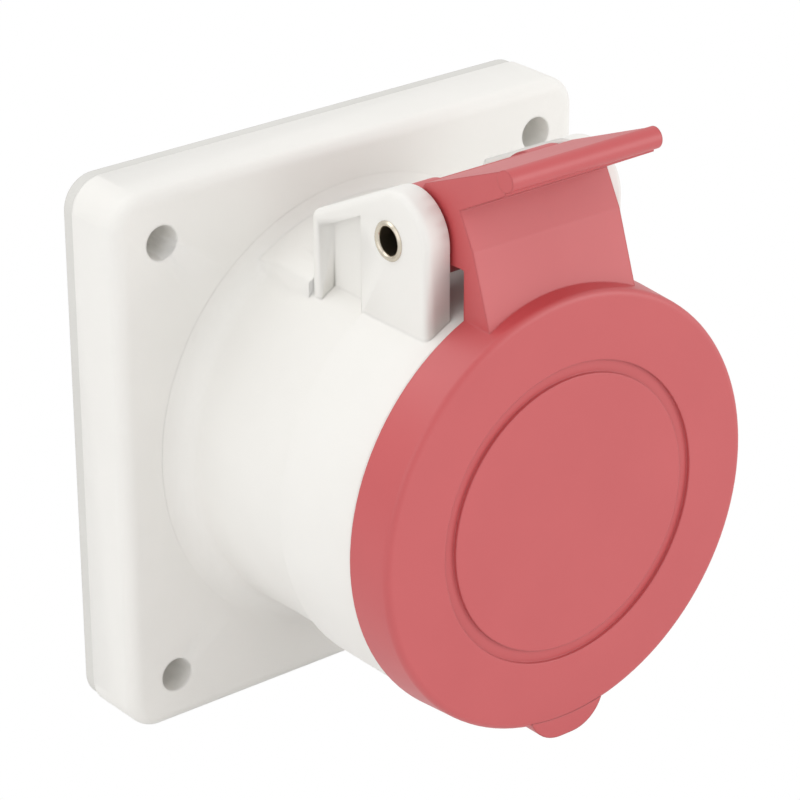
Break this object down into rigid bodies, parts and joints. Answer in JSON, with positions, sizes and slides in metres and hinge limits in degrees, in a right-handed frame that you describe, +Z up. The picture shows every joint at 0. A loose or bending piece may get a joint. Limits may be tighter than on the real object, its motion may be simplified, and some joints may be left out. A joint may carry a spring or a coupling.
{
  "type": "industrial panel socket",
  "caption": "Square-flanged panel socket with a round barrel and a sprung red lid on a riveted hinge; slotted sleeve contacts inside, screw terminals behind.",
  "frame": {"origin": "centre of the four mounting holes, on the gasket's rear face, which lies on the panel", "axes": "the socket faces -Y, +Z is up towards the lid's hinge, +Y goes into the panel"},
  "size_m": [0.086, 0.0758, 0.0985],
  "materials": {
    "housing_plastic": "moulded, fine matt surface, warm light grey",
    "lid_plastic": "moulded, satin red, fine grain on skirt and arm",
    "gasket_rubber": "pale grey rubber sheet",
    "seal_rubber": "black rubber",
    "rivet_nickel": "nickel plated, warm",
    "spring_steel": "drawn stainless wire",
    "insulator": "moulded, pale grey",
    "contact_brass": "turned and milled brass",
    "screw_steel": "zinc plated steel"
  },
  "bodies": {
    "socket_body": {"flange": "housing_plastic", "barrel_foot": "housing_plastic", "barrel": "housing_plastic", "hinge_ears": "housing_plastic", "flange_gasket": "gasket_rubber", "hinge_rivet": "rivet_nickel", "lid_spring": "spring_steel", "contact_carrier": "insulator", "carrier_base": "insulator", "carrier_plate": "insulator", "terminal_carrier": "insulator", "rear_cover": "insulator", "earth_contact": "contact_brass", "neutral_contact": "contact_brass", "phase_contact_1": "contact_brass", "phase_contact_2": "contact_brass", "phase_contact_3": "contact_brass", "earth_ring": "spring_steel", "neutral_ring": "spring_steel", "phase_ring_1": "spring_steel", "phase_ring_2": "spring_steel", "phase_ring_3": "spring_steel", "earth_clamp_plate": "screw_steel", "neutral_clamp_plate": "screw_steel", "phase_clamp_plate_1": "screw_steel", "phase_clamp_plate_2": "screw_steel", "phase_clamp_plate_3": "screw_steel", "terminal_screws": "screw_steel", "carrier_screws": "screw_steel"},
    "lid": {"lid": "lid_plastic", "lid_seal": "seal_rubber"}
  },
  "joints": [
    {"name": "lid_hinge", "type": "hinge", "parent": "socket_body", "child": "lid", "pos_m": [0, -0.0434, 0.0405], "axis": [-1, 0, 0], "range_deg": [0, 120], "stiffness_Nm_per_rad": 0.12, "springref_deg": -68.75, "deforming": ["lid_spring"]}
  ]
}
